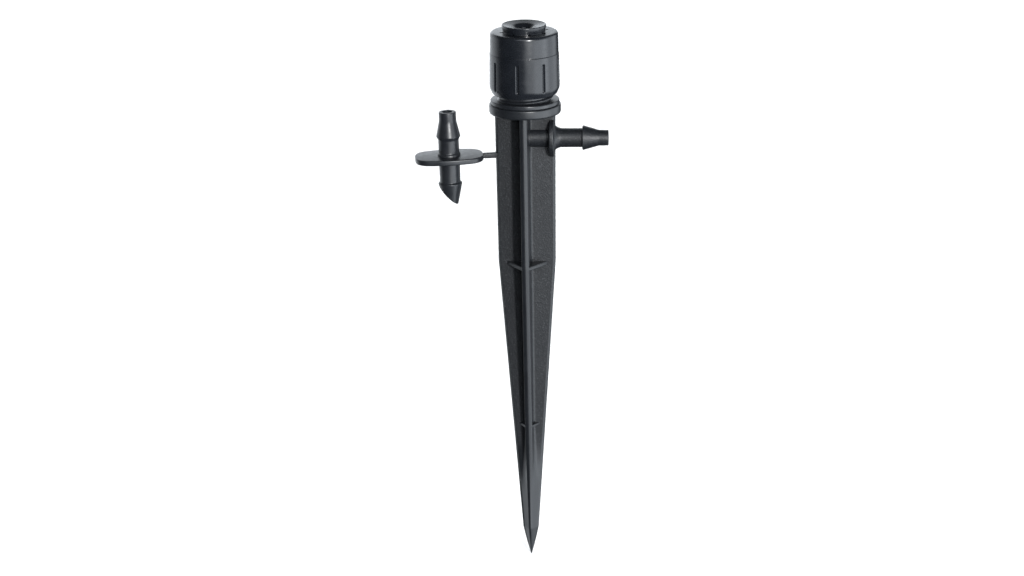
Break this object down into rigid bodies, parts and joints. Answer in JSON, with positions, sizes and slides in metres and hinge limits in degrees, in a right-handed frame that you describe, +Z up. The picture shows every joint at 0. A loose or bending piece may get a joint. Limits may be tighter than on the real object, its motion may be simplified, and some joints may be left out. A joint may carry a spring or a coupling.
{
  "type": "adjustable stake dripper",
  "caption": "Adjustable dripper on a ground stake: a screw cap with radial water outlets, a side barb for small tube and a spare double-ended connector on a snap-off web.",
  "frame": {"origin": "the tip of the stake, on the stem's axis", "axes": "+Z runs up the stem to the cap, +X points along the inlet barb, and -Y is the front, the side with the pictured rib"},
  "size_m": [0.0448, 0.0166, 0.1303],
  "materials": {
    "stake_plastic": "spark-eroded matt black plastic with a fine speckle",
    "base_plastic": "smooth satin black plastic",
    "cap_plastic": "semi-gloss black plastic",
    "connector_plastic": "satin black plastic",
    "seal_rubber": "matt black rubber"
  },
  "bodies": {
    "stake": {"stake_body": "stake_plastic", "emitter_base": "base_plastic"},
    "seal": {"cap_seal_ring": "seal_rubber"},
    "cap": {"flow_cap": "cap_plastic"},
    "web": {"connector_web": "stake_plastic"},
    "connector": {"spare_connector": "connector_plastic"}
  },
  "joints": [
    {"name": "cap_travel", "type": "slide", "parent": "stake", "child": "seal", "axis": [0, 0, 1], "range_m": [-0.00084, 0.004]},
    {"name": "cap_turn", "type": "hinge", "parent": "seal", "child": "cap", "pos_m": [0, 0, 0.121], "axis": [0, 0, 1], "range_deg": [-190, 901]},
    {"name": "web_flex", "type": "hinge", "parent": "stake", "child": "web", "pos_m": [-0.00692, 0, 0.09942], "axis": [0, 0, 1], "range_deg": [-30, 20], "stiffness_Nm_per_rad": 0.01},
    {"name": "connector_snap_off", "type": "slide", "parent": "web", "child": "connector", "axis": [-0.9875, -0.1564, -0.0209], "range_m": [0, 0.02]}
  ],
  "couplings": [
    {"joint": "cap_turn", "follows": "cap_travel", "rad_per_m": 3927}
  ]
}
